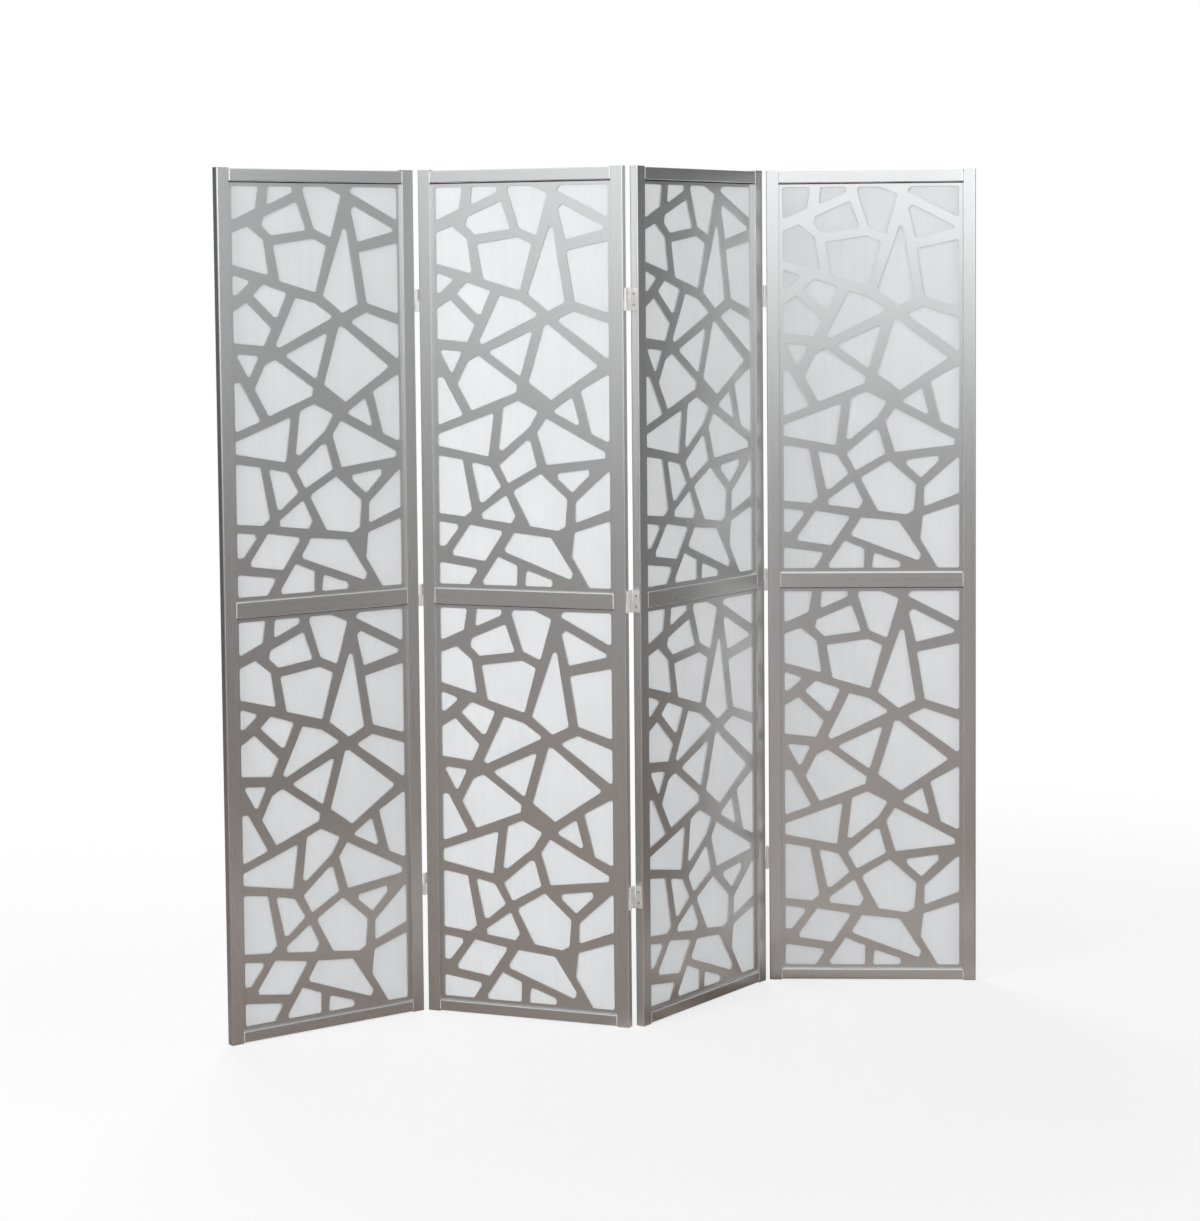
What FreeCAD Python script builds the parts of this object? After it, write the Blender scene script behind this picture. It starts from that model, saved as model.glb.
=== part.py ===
import FreeCAD, Part
import math
import os
import re
import Sketcher

# A folding partition screen: four framed panels with openwork inserts over
# translucent sheets, joined by two-way hinges and standing in a zigzag.
# World frame: z up, the front faces -y, the origin is on the floor under the
# middle of the zigzag. In a panel's own frame x runs along the panel from its
# left end, y goes back from its front face and z goes up.

SIZES = {
    # the frame of one panel
    "panel_width": 455.0,
    "panel_height": 1790.0,
    "panel_thickness": 20.0,
    "stile_face": 27.0,
    "top_rail_face": 26.0,
    "mid_rail_face": 34.0,
    "bottom_rail_face": 22.5,
    "stile_overhang": 2.0,
    "outer_round": 2.5,
    "inner_round": 1.0,
    "end_round": 0.8,
    # the groove that holds the insert, and the tenons that fit it
    "groove_depth": 6.0,
    "groove_stop": 9.0,
    "groove_slack": 0.1,
    "end_slack": 0.4,
    "haunch": 1.5,
    # the insert
    "fret_thickness": 3.0,
    "sheet_thickness": 0.5,
    "rim_face": 8.5,
    "hole_round": 5.0,
    # the two-way hinge
    "hinge_gap": 9.4,
    "hinge_height": 46.0,
    "hinge_end_offset": 273.0,
    "leaf_thickness": 1.4,
    "leaf_margin": 1.2,
    "leaf_step": 1.6,
    "half_gap": 0.2,
    "knuckle_radius": 3.0,
    "axis_proud": 0.5,
    "link_thickness": 1.6,
    "access_radius": 3.4,
    "pin_radius": 1.3,
    "running_fit": 0.05,
    "pin_head_radius": 2.1,
    "pin_head_height": 0.7,
    # the wood screws
    "screw_radius": 1.4,
    "screw_length": 15.0,
    "screw_hole_slack": 0.1,
    "screw_head_radius": 2.7,
    "screw_rim_radius": 2.0,
    "screw_head_height": 0.9,
    "cross_width": 0.6,
    "cross_reach": 1.5,
    "cross_depth": 0.6,
    # how the screen stands, in degrees
    "first_panel_angle": 32.0,
    "fold_12": 54.0,
    "fold_23": 72.0,
    "fold_34": 55.0,
}

# Sizes that follow from the ones above, as expressions in their names.
RAIL_LENGTH = "(panel_width - 2 * stile_face)"
TOP_RAIL_LOW = "(panel_height - stile_overhang - top_rail_face)"
BOTTOM_RAIL_TOP = "(stile_overhang + bottom_rail_face)"
OPENING = f"(({TOP_RAIL_LOW} - {BOTTOM_RAIL_TOP} - mid_rail_face) / 2)"
GROOVE_WIDTH = "(fret_thickness + sheet_thickness + 2 * groove_slack)"
GROOVE_START = f"((panel_thickness - {GROOVE_WIDTH}) / 2)"
TENON = "(groove_depth - end_slack)"
TENON_SHOULDER = "(groove_depth + haunch)"
INSERT_WIDTH = f"({RAIL_LENGTH} + 2 * groove_depth - 2 * end_slack)"
INSERT_HEIGHT = f"({OPENING} + 2 * groove_depth - 2 * end_slack)"
FRET_FRONT = f"({GROOVE_START} + groove_slack)"
SHEET_FRONT = f"({FRET_FRONT} + fret_thickness)"
HALF_HINGE = "((hinge_height - half_gap) / 2)"
UPPER_HALF = "((hinge_height + half_gap) / 2)"
WEB_BACK = "(knuckle_radius - axis_proud)"
LINK_LEFT = "((hinge_gap - link_thickness) / 2)"

# The openwork repeats in all eight inserts. Each row is one hole; its corners
# are shares of the openwork's width from the left and of its height down from
# the top.
HOLE_SHARES = (
    ((0, 0), (0.160, 0), (0.140, 0.055), (0, 0.084)),
    ((0.215, 0), (0.365, 0), (0.360, 0.015), (0.205, 0.047)),
    ((0.185, 0.075), (0.385, 0.036), (0.440, 0.107), (0.230, 0.120), (0.175, 0.096)),
    ((0.430, 0), (0.555, 0), (0.655, 0.020), (0.588, 0.125), (0.485, 0.104), (0.420, 0.010)),
    ((0.730, 0), (1, 0), (1, 0.083), (0.700, 0.012)),
    ((0.712, 0.057), (0.737, 0.047), (0.995, 0.108), (0.752, 0.136)),
    ((0, 0.113), (0.095, 0.097), (0.185, 0.131), (0.213, 0.217), (0, 0.191)),
    ((0.240, 0.143), (0.480, 0.127), (0.562, 0.145), (0.492, 0.260), (0.275, 0.231)),
    ((0.660, 0.103), (0.685, 0.103), (0.750, 0.290), (0.653, 0.312), (0.533, 0.268)),
    ((0.757, 0.162), (1, 0.138), (1, 0.317), (0.803, 0.288)),
    ((0, 0.213), (0.108, 0.231), (0.024, 0.264), (0, 0.264)),
    ((0.180, 0.238), (0.320, 0.260), (0.262, 0.319), (0.240, 0.319), (0.115, 0.265)),
    ((0.370, 0.271), (0.485, 0.285), (0.600, 0.321), (0.270, 0.394), (0.245, 0.388)),
    ((0, 0.304), (0.080, 0.281), (0.225, 0.346), (0.180, 0.389), (0, 0.380)),
    ((0.010, 0.406), (0.150, 0.412), (0.087, 0.470)),
    ((0.180, 0.436), (0.235, 0.423), (0.252, 0.424), (0.470, 0.495), (0.463, 0.514),
     (0.200, 0.561), (0.117, 0.493)),
    ((0, 0.476), (0.035, 0.476), (0.152, 0.572), (0, 0.598)),
    ((0.297, 0.413), (0.565, 0.357), (0.488, 0.475)),
    ((0.628, 0.345), (0.655, 0.345), (0.940, 0.448), (0.665, 0.533), (0.533, 0.488)),
    ((0.697, 0.333), (0.800, 0.311), (1, 0.343), (1, 0.433)),
    ((0.833, 0.508), (1, 0.465), (1, 0.638), (0.893, 0.615)),
    ((0.667, 0.560), (0.788, 0.523), (0.833, 0.600)),
    ((0, 0.620), (0.332, 0.564), (0.298, 0.676), (0, 0.650)),
    ((0.385, 0.551), (0.472, 0.534), (0.590, 0.562), (0.537, 0.602), (0.382, 0.660),
     (0.356, 0.657)),
    ((0.632, 0.577), (0.975, 0.661), (0.975, 0.676), (0.633, 0.695), (0.580, 0.613)),
    ((0.515, 0.635), (0.543, 0.635), (0.581, 0.699), (0.410, 0.743), (0.358, 0.697)),
    ((0, 0.674), (0.145, 0.684), (0.197, 0.812), (0.155, 0.828), (0, 0.821)),
    ((0.193, 0.689), (0.307, 0.701), (0.371, 0.751), (0.268, 0.791), (0.242, 0.791)),
    ((0.398, 0.770), (0.452, 0.824), (0.427, 0.843), (0.257, 0.833), (0.252, 0.818)),
    ((0.600, 0.716), (0.755, 0.780), (0.742, 0.848), (0.698, 0.859), (0.537, 0.849),
     (0.442, 0.767), (0.447, 0.758)),
    ((0.698, 0.715), (0.880, 0.703), (0.882, 0.719), (0.783, 0.763), (0.698, 0.728)),
    ((0.800, 0.786), (0.985, 0.709), (1, 0.709), (1, 0.803), (0.797, 0.839)),
    ((0, 0.841), (0.108, 0.848), (0.115, 0.858), (0.037, 0.904), (0, 0.904)),
    ((0.182, 0.848), (0.370, 0.862), (0.372, 0.871), (0.270, 0.940), (0.082, 0.927),
     (0.077, 0.916)),
    ((0.440, 0.866), (0.657, 0.876), (0.783, 0.965), (0.768, 0.981), (0.392, 0.916),
     (0.383, 0.908)),
    ((0.792, 0.862), (1, 0.830), (1, 1), (0.877, 1), (0.777, 0.924)),
    ((0, 0.944), (0.218, 0.958), (0.221, 0.967), (0.175, 1), (0, 1)),
    ((0.345, 0.927), (0.460, 0.949), (0.457, 1), (0.262, 1), (0.253, 0.990)),
    ((0.512, 0.959), (0.657, 0.982), (0.667, 0.993), (0.655, 1), (0.502, 1)),
)

# Shares of a hole's edge that one rounded corner may take up, and of the
# hinge's height at which its two screws sit.
EDGE_USE_SHARE = 0.45
SCREW_SHARES = (0.25, 0.75)

# The panels that each joint ties, and which of its two axes is folded.
JOINTS = (("12", "front"), ("23", "back"), ("34", "front"))

UP = FreeCAD.Vector(0, 0, 1)
BACK = FreeCAD.Vector(0, 1, 0)
HALF_TURN = 180
QUARTER_TURN = 90
TOUCH = 1e-4

doc = FreeCAD.newDocument("PartitionScreen")
sheet = doc.addObject("Spreadsheet::Sheet", "Sizes")
for row, (name, number) in enumerate(SIZES.items(), start=1):
    sheet.set(f"A{row}", name)
    sheet.set(f"B{row}", str(number))
    sheet.setAlias(f"B{row}", name)
doc.recompute()


def cells(text):
    """The expression with every size name pointed at its cell."""
    return re.sub(r"\b[a-z]\w*", r"Sizes.\g<0>", str(text))


def value(text):
    """The number that an expression in size names comes to."""
    return float(sheet.evalExpression(cells(text)))


def turn(degrees):
    return FreeCAD.Placement(FreeCAD.Vector(), FreeCAD.Rotation(UP, degrees))


def shift(x, y, z=0):
    """A move by three expressions in size names."""
    return FreeCAD.Placement(FreeCAD.Vector(value(x), value(y), value(z)), FreeCAD.Rotation())


# Sketches and features

def plane(body, role):
    return next(item for item in body.Origin.OriginFeatures if item.Role == role)


def new_sketch(body, name, role, lift="0"):
    """An empty sketch on one of the body's own planes, lifted off it."""
    sketch = body.newObject("Sketcher::SketchObject", f"{body.Name}_{name}")
    sketch.AttachmentSupport = [(plane(body, role), "")]
    sketch.MapMode = "FlatFace"
    sketch.setExpression(".AttachmentOffset.Base.z", cells(lift))
    return sketch


def fix(sketch, kind, places, name, text):
    """A dimension of the sketch that is driven by an expression."""
    sketch.addConstraint(Sketcher.Constraint(kind, *places, value(text)))
    number = sketch.ConstraintCount - 1
    sketch.renameConstraint(number, name)
    sketch.setExpression(f"Constraints.{name}", cells(text))


def rectangle(body, name, low, high, lift="0"):
    """A level rectangle between two corners that are pairs of expressions."""
    sketch = new_sketch(body, name, "XY_Plane", lift)
    (x0, y0), (x1, y1) = low, high
    corners = [FreeCAD.Vector(value(x), value(y), 0)
               for x, y in ((x0, y0), (x1, y0), (x1, y1), (x0, y1))]
    for k in range(4):
        sketch.addGeometry(Part.LineSegment(corners[k], corners[(k + 1) % 4]), False)
    for k in range(4):
        sketch.addConstraint(Sketcher.Constraint("Coincident", k, 2, (k + 1) % 4, 1))
        sketch.addConstraint(Sketcher.Constraint("Vertical" if k % 2 else "Horizontal", k))
    fix(sketch, "DistanceX", (-1, 1, 0, 1), "left", x0)
    fix(sketch, "DistanceY", (-1, 1, 0, 1), "front", y0)
    fix(sketch, "DistanceX", (-1, 1, 1, 2), "right", x1)
    fix(sketch, "DistanceY", (-1, 1, 1, 2), "rear", y1)
    return sketch


def feature(kind, sketch, length, upward=False):
    """A pad or a pocket of the sketch's body."""
    body = sketch.getParentGeoFeatureGroup()
    made = body.newObject(f"PartDesign::{kind}", f"{sketch.Name}_{kind}")
    made.Profile = sketch
    made.setExpression("Length", cells(length))
    made.Reversed = upward
    doc.recompute()
    return made


def cut_by(body, sketch, length):
    """A pocket in the direction of the sketch's normal, proved to remove material."""
    before = body.Shape.Volume
    made = feature("Pocket", sketch, length, upward=True)
    assert body.Shape.Volume < before - TOUCH, f"{made.Label} cuts nothing"
    return made


def close(a, b):
    return abs(a - b) < TOUCH


def round_edges(body, name, radius, wanted):
    """Round every edge of the body for which the test wanted(edge) holds."""
    base = body.Tip
    names = [f"Edge{k}" for k, edge in enumerate(base.Shape.Edges, start=1) if wanted(edge)]
    made = body.newObject("PartDesign::Fillet", f"{body.Name}_{name}")
    made.Base = (base, names)
    made.setExpression("Radius", cells(radius))
    doc.recompute()
    return made


def runs_along(edge, axis):
    start, end = edge.Vertexes[0].Point, edge.Vertexes[-1].Point
    return all(close(start[k], end[k]) for k in range(3) if k != axis) and not start.isEqual(end, TOUCH)


def new_body(label, place):
    body = doc.addObject("PartDesign::Body", label)
    body.Label = label
    body.Placement = place
    return body


# The frame

def add_stile(label, place, drilled):
    """A stile: x runs from its outer edge to its grooved inner edge."""
    body = new_body(label, place)
    blank = rectangle(body, "blank", ("0", "0"), ("stile_face", "panel_thickness"))
    feature("Pad", blank, "panel_height")
    groove = rectangle(body, "groove", ("stile_face - groove_depth", GROOVE_START),
                       ("stile_face", f"{GROOVE_START} + {GROOVE_WIDTH}"), "groove_stop")
    cut_by(body, groove, "panel_height - 2 * groove_stop")
    if drilled:
        drill_stile(body)
    inner = value("stile_face")
    round_edges(body, "outer_edges", "outer_round",
                lambda e: runs_along(e, 2) and close(e.CenterOfMass.x, 0))
    flat = (0, value("panel_thickness"))
    round_edges(body, "inner_edges", "inner_round",
                lambda e: runs_along(e, 2) and close(e.CenterOfMass.x, inner)
                and any(close(e.CenterOfMass.y, y) for y in flat))
    ends = (0, value("panel_height"))
    round_edges(body, "end_edges", "end_round",
                lambda e: any(all(close(v.Z, z) for v in e.Vertexes) and close(e.CenterOfMass.z, z)
                              for z in ends))
    return body


def drill_stile(body):
    """Pilot holes for the hinge screws in the stile's outer edge."""
    sketch = new_sketch(body, "pilots", "YZ_Plane")
    for k, height in enumerate(screw_heights()):
        centre = FreeCAD.Vector(value("panel_thickness / 2"), value(height), 0)
        sketch.addGeometry(Part.Circle(centre, FreeCAD.Vector(0, 0, 1), value("screw_radius")), False)
        fix(sketch, "DistanceX", (-1, 1, k, 3), f"across{k}", "panel_thickness / 2")
        fix(sketch, "DistanceY", (-1, 1, k, 3), f"height{k}", height)
        fix(sketch, "Radius", (k,), f"radius{k}", "screw_radius")
    cut_by(body, sketch, "screw_length")


def hinge_bottoms():
    """The heights of the undersides of a joint's three hinges."""
    half = "hinge_height / 2"
    return (f"(hinge_end_offset - {half})",
            f"({BOTTOM_RAIL_TOP} + {OPENING} + (mid_rail_face - hinge_height) / 2)",
            f"(panel_height - hinge_end_offset - {half})")


def screw_heights():
    return [f"({bottom} + hinge_height * {share})"
            for bottom in hinge_bottoms() for share in SCREW_SHARES]


def add_rail(label, place, face, tenon_low, tenon_tall, grooves):
    """A rail: x runs from the end of its left tenon, z from its underside."""
    body = new_body(label, place)
    blank = rectangle(body, "blank", (TENON, "0"), (f"{TENON} + {RAIL_LENGTH}", "panel_thickness"))
    feature("Pad", blank, face)
    tongue = rectangle(body, "tenons", ("0", FRET_FRONT),
                       (f"2 * {TENON} + {RAIL_LENGTH}",
                        f"{FRET_FRONT} + fret_thickness + sheet_thickness"), tenon_low)
    feature("Pad", tongue, tenon_tall)
    for side in grooves:
        lift = "0" if side == "low" else f"{face} - groove_depth"
        groove = rectangle(body, f"{side}_groove", (TENON, GROOVE_START),
                           (f"{TENON} + {RAIL_LENGTH}", f"{GROOVE_START} + {GROOVE_WIDTH}"), lift)
        cut_by(body, groove, "groove_depth")
    depth, tall = value("panel_thickness"), value(face)
    round_edges(body, "long_edges", "inner_round",
                lambda e: runs_along(e, 0)
                and any(close(e.CenterOfMass.y, y) for y in (0, depth))
                and any(close(e.CenterOfMass.z, z) for z in (0, tall)))
    return body


# The inserts

def rounded_outline(points, radius):
    """A closed wire through the points, with its corners rounded."""
    count = len(points)
    starts, arcs = [], []
    for k, corner in enumerate(points):
        to_last = points[k - 1] - corner
        to_next = points[(k + 1) % count] - corner
        half = to_last.getAngle(to_next) / 2
        reach = min(radius / math.tan(half), EDGE_USE_SHARE * to_last.Length,
                    EDGE_USE_SHARE * to_next.Length)
        arc_radius = reach * math.tan(half)
        into = (to_last.normalize() + to_next.normalize()).normalize()
        middle = corner + into * (arc_radius / math.sin(half) - arc_radius)
        first, last = corner + to_last * reach, corner + to_next * reach
        starts.append(first)
        arcs.append((Part.Arc(first, middle, last).toShape(), last))
    edges = []
    for k, (arc, last) in enumerate(arcs):
        edges += [arc, Part.LineSegment(last, starts[(k + 1) % count]).toShape()]
    return Part.Wire(edges)


def fretwork_shape():
    """The openwork board: x and z from its lower left corner, y from its front."""
    wide, tall = value(INSERT_WIDTH), value(INSERT_HEIGHT)
    border = value("groove_depth - end_slack + rim_face")
    hole_wide, hole_tall = wide - 2 * border, tall - 2 * border
    radius = value("hole_round")
    outline = Part.makePolygon([FreeCAD.Vector(x, 0, z) for x, z in
                                ((0, 0), (wide, 0), (wide, tall), (0, tall), (0, 0))])
    wires = [outline]
    for hole in HOLE_SHARES:
        points = [FreeCAD.Vector(border + across * hole_wide, 0, tall - border - down * hole_tall)
                  for across, down in hole]
        wires.append(rounded_outline(points, radius))
    face = Part.makeFace(wires, "Part::FaceMakerBullseye")
    return face.extrude(BACK * value("fret_thickness"))


def add_shape(label, shape, place):
    """A node whose shape is worked out from the cells."""
    node = doc.addObject("Part::Feature", label)
    node.Label = label
    node.Shape = shape
    node.Placement = place
    return node


def add_sheet(label, place):
    """The translucent sheet behind the openwork, drawn lying down and padded up."""
    body = new_body(label, place)
    blank = rectangle(body, "blank", ("0", "0"), (INSERT_WIDTH, "sheet_thickness"))
    feature("Pad", blank, INSERT_HEIGHT)
    return body


def add_panel(number, place, drilled_left, drilled_right, board):
    """One panel's pieces, placed in the panel's frame."""
    name = f"panel_{number}"
    far_side = place * shift("panel_width", "panel_thickness") * turn(HALF_TURN)
    nodes = [add_stile(f"{name}_left_stile", place, drilled_left),
             add_stile(f"{name}_right_stile", far_side, drilled_right)]
    left = f"(stile_face - {TENON})"
    outer_low = "(groove_stop - stile_overhang + end_slack)"
    rails = (
        ("top_rail", TOP_RAIL_LOW, "top_rail_face", TENON_SHOULDER,
         f"top_rail_face - {TENON_SHOULDER} - {outer_low}", ("low",)),
        ("mid_rail", f"({BOTTOM_RAIL_TOP} + {OPENING})", "mid_rail_face", TENON_SHOULDER,
         f"mid_rail_face - 2 * {TENON_SHOULDER}", ("low", "high")),
        ("bottom_rail", "stile_overhang", "bottom_rail_face", outer_low,
         f"bottom_rail_face - {TENON_SHOULDER} - {outer_low}", ("high",)),
    )
    for part, height, face, tenon_low, tenon_tall, grooves in rails:
        nodes.append(add_rail(f"{name}_{part}", place * shift(left, "0", height), face,
                              tenon_low, tenon_tall, grooves))
    low = f"({BOTTOM_RAIL_TOP} - {TENON})"
    heights = (("lower", low), ("upper", f"({low} + {OPENING} + mid_rail_face)"))
    for part, height in heights:
        nodes.append(add_shape(f"{name}_{part}_fretwork", board,
                               place * shift(left, FRET_FRONT, height)))
        nodes.append(add_sheet(f"{name}_{part}_sheet", place * shift(left, SHEET_FRONT, height)))
    return nodes


# The hinge pieces: x runs across the gap from the left panel's edge, y back
# from the front faces and z up from the hinge's underside.

def bind(item, settings):
    for name, text in settings.items():
        item.setExpression(name, cells(text))
    return item


def box(name, x, y, z):
    """A box between pairs of expressions along each axis."""
    settings = {}
    for axis, size, (low, high) in zip("xyz", ("Length", "Width", "Height"), (x, y, z)):
        settings[f"Placement.Base.{axis}"] = low
        settings[size] = f"{high} - ({low})"
    return bind(doc.addObject("Part::Box", name), settings)


def post(name, x, y, low, high, radius):
    """An upright cylinder."""
    return bind(doc.addObject("Part::Cylinder", name),
                {"Placement.Base.x": x, "Placement.Base.y": y, "Placement.Base.z": low,
                 "Height": f"{high} - ({low})", "Radius": radius})


def bolt(name, kind, start, y, z, settings):
    """A cylinder or cone that lies along x."""
    item = doc.addObject(f"Part::{kind}", name)
    item.Placement = FreeCAD.Placement(FreeCAD.Vector(), FreeCAD.Rotation(BACK, QUARTER_TURN))
    return bind(item, {"Placement.Base.x": start, "Placement.Base.y": y, "Placement.Base.z": z,
                       **settings})


def joined(name, items):
    fused = doc.addObject("Part::MultiFuse", name)
    fused.Shapes = items
    return fused


def less(name, base, tools):
    cut = doc.addObject("Part::Cut", name)
    cut.Base = base
    cut.Tool = joined(f"{name}_tools", tools) if len(tools) > 1 else tools[0]
    return cut


AXIS_X = "hinge_gap / 2"
FRONT_AXIS_Y = "(0 - axis_proud)"
BACK_AXIS_Y = "(panel_thickness + axis_proud)"
MIDDLE_Y = "panel_thickness / 2"
SCREW_Z = [f"hinge_height * {share}" for share in SCREW_SHARES]


def leaf_pattern():
    """A leaf: a plate on the panel's edge, stepped in above its knuckle."""
    step = "(leaf_margin + leaf_step)"
    full = joined("leaf_body", [
        box("leaf_low_plate", ("0", "leaf_thickness"),
            ("leaf_margin", "panel_thickness - leaf_margin"), ("0", HALF_HINGE)),
        box("leaf_high_plate", ("0", "leaf_thickness"),
            (step, f"panel_thickness - {step}"), ("0", "hinge_height")),
        box("leaf_web", ("0", AXIS_X), (f"{WEB_BACK} - leaf_thickness", WEB_BACK), ("0", HALF_HINGE)),
        post("leaf_knuckle", AXIS_X, FRONT_AXIS_Y, "0", HALF_HINGE, "knuckle_radius"),
    ])
    hole = "screw_radius + screw_hole_slack"
    cuts = [post("leaf_bore", AXIS_X, FRONT_AXIS_Y, "0", HALF_HINGE, "pin_radius + running_fit")]
    cuts += [bolt(f"leaf_hole_{k}", "Cylinder", "0", MIDDLE_Y, z,
                  {"Radius": hole, "Height": "leaf_thickness"}) for k, z in enumerate(SCREW_Z)]
    return less("leaf_pattern", full, cuts)


def link_pattern():
    """The link between the two axes, all in the hinge's upper half."""
    tall = (UPPER_HALF, "hinge_height")
    full = joined("link_body", [
        box("link_plate", (LINK_LEFT, f"{LINK_LEFT} + link_thickness"),
            (FRONT_AXIS_Y, BACK_AXIS_Y), tall),
        post("link_front_knuckle", AXIS_X, FRONT_AXIS_Y, *tall, "knuckle_radius"),
        post("link_back_knuckle", AXIS_X, BACK_AXIS_Y, *tall, "knuckle_radius"),
    ])
    bore = "pin_radius + running_fit"
    cuts = [post("link_front_bore", AXIS_X, FRONT_AXIS_Y, *tall, bore),
            post("link_back_bore", AXIS_X, BACK_AXIS_Y, *tall, bore),
            bolt("link_access", "Cylinder", LINK_LEFT, MIDDLE_Y, SCREW_Z[1],
                 {"Radius": "access_radius", "Height": "link_thickness"})]
    return less("link_pattern", full, cuts)


def pin_pattern():
    """A hinge pin with a peened head at each end, about its own axis."""
    top = bind(doc.addObject("Part::Cone", "pin_top"),
               {"Placement.Base.z": "hinge_height", "Height": "pin_head_height",
                "Radius1": "pin_head_radius", "Radius2": "pin_radius"})
    foot = bind(doc.addObject("Part::Cone", "pin_foot"),
                {"Placement.Base.z": "0 - pin_head_height", "Height": "pin_head_height",
                 "Radius1": "pin_radius", "Radius2": "pin_head_radius"})
    shaft = post("pin_shaft", "0", "0", "0", "hinge_height", "pin_radius")
    return joined("pin_pattern", [shaft, top, foot])


def screw_pattern():
    """A wood screw whose head sits on the leaf at x = 0 and faces +x."""
    full = joined("screw_body", [
        bolt("screw_shank", "Cylinder", "0 - screw_length - leaf_thickness", "0", "0",
             {"Radius": "screw_radius", "Height": "screw_length + leaf_thickness"}),
        bolt("screw_head", "Cone", "0", "0", "0",
             {"Radius1": "screw_head_radius", "Radius2": "screw_rim_radius",
              "Height": "screw_head_height"}),
    ])
    deep = ("screw_head_height - cross_depth", "screw_head_height")
    long = ("0 - cross_reach", "cross_reach")
    thin = ("0 - cross_width / 2", "cross_width / 2")
    return less("screw_pattern", full, [box("cross_upright", deep, thin, long),
                                        box("cross_level", deep, long, thin)])


def add_group(label, pattern, places):
    """A node of separate, identical solids, one at each place."""
    frame = places[0]
    back = frame.inverse()
    copies = []
    for place in places:
        copy = pattern.Shape.copy()
        copy.Placement = back * place * copy.Placement
        copies.append(copy)
    return add_shape(label, Part.makeCompound(copies), frame)


def add_joint(name, left, link, right, patterns):
    """The hinges of one joint, from the frames of its panels and its link."""
    leaf, link_part, pin, screw = patterns
    bottoms = hinge_bottoms()
    half_turn = turn(HALF_TURN)

    def group(part, pattern, frame, x, y, heights, facing=turn(0)):
        return add_group(f"joint_{name}_{part}", pattern,
                         [frame * shift(x, y, z) * facing for z in heights])

    return [
        group("left_leaves", leaf, left, "panel_width", "0", bottoms),
        group("left_screws", screw, left, "panel_width + leaf_thickness", MIDDLE_Y, screw_heights()),
        group("front_pins", pin, left, f"panel_width + {AXIS_X}", FRONT_AXIS_Y, bottoms),
        group("links", link_part, link, "0", "0", bottoms),
        group("back_pins", pin, right, f"0 - {AXIS_X}", BACK_AXIS_Y, bottoms),
        group("right_leaves", leaf, right, "0", "panel_thickness", bottoms, half_turn),
        group("right_screws", screw, right, "0 - leaf_thickness", MIDDLE_Y, screw_heights(), half_turn),
    ]


def next_frames(left, fold, axis):
    """The link's and the right panel's frames, past a joint folded about one axis."""
    front_fold, back_fold = (fold, 0) if axis == "front" else (0, fold)
    link = (left * shift(f"panel_width + {AXIS_X}", FRONT_AXIS_Y) * turn(-front_fold)
            * shift(f"0 - {AXIS_X}", "axis_proud"))
    right = (link * shift(AXIS_X, BACK_AXIS_Y) * turn(back_fold)
             * shift(AXIS_X, f"0 - {BACK_AXIS_Y}"))
    return link, right


def main():
    os.makedirs("parts", exist_ok=True)
    patterns = (leaf_pattern(), link_pattern(), pin_pattern(), screw_pattern())
    doc.recompute()
    board = fretwork_shape()
    frame = turn(value("first_panel_angle"))
    nodes = add_panel(1, frame, False, True, board)
    for number, (name, axis) in enumerate(JOINTS, start=2):
        link, right = next_frames(frame, value(f"fold_{name}"), axis)
        nodes += add_joint(name, frame, link, right, patterns)
        last = number == len(JOINTS) + 1
        nodes += add_panel(number, right, True, not last, board)
        frame = right
    doc.recompute()

    whole = FreeCAD.BoundBox()
    for node in nodes:
        whole.add(node.Shape.BoundBox)
    centre = FreeCAD.Vector(whole.Center.x, whole.Center.y, whole.ZMin)
    for node in nodes:
        node.Placement = FreeCAD.Placement(-centre, FreeCAD.Rotation()) * node.Placement
    doc.recompute()

    for item in doc.Objects:
        assert not {"Invalid", "Error"} & set(item.State), f"{item.Label}: {item.State}"
    for node in nodes:
        assert not node.Shape.isNull() and node.Shape.isValid(), f"{node.Label} is not sound"
        assert node.Shape.Solids, f"{node.Label} has no solid"
    for node in nodes:
        node.Shape.exportStep(f"parts/{node.Label}.step")
    print(len(nodes), "nodes,", whole)


main()
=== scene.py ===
"""Folding partition screen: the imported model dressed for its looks.

Four framed panels stand in a zigzag. Each has two openwork boards in satin silver paint, a white
translucent cloth behind each board, and two-way hinges to its neighbours. Lengths are in metres.
"""
import sys
import logging
import math
from dataclasses import dataclass, field
from enum import Enum

import bmesh
import bpy
from mathutils import Matrix, Vector


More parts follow.
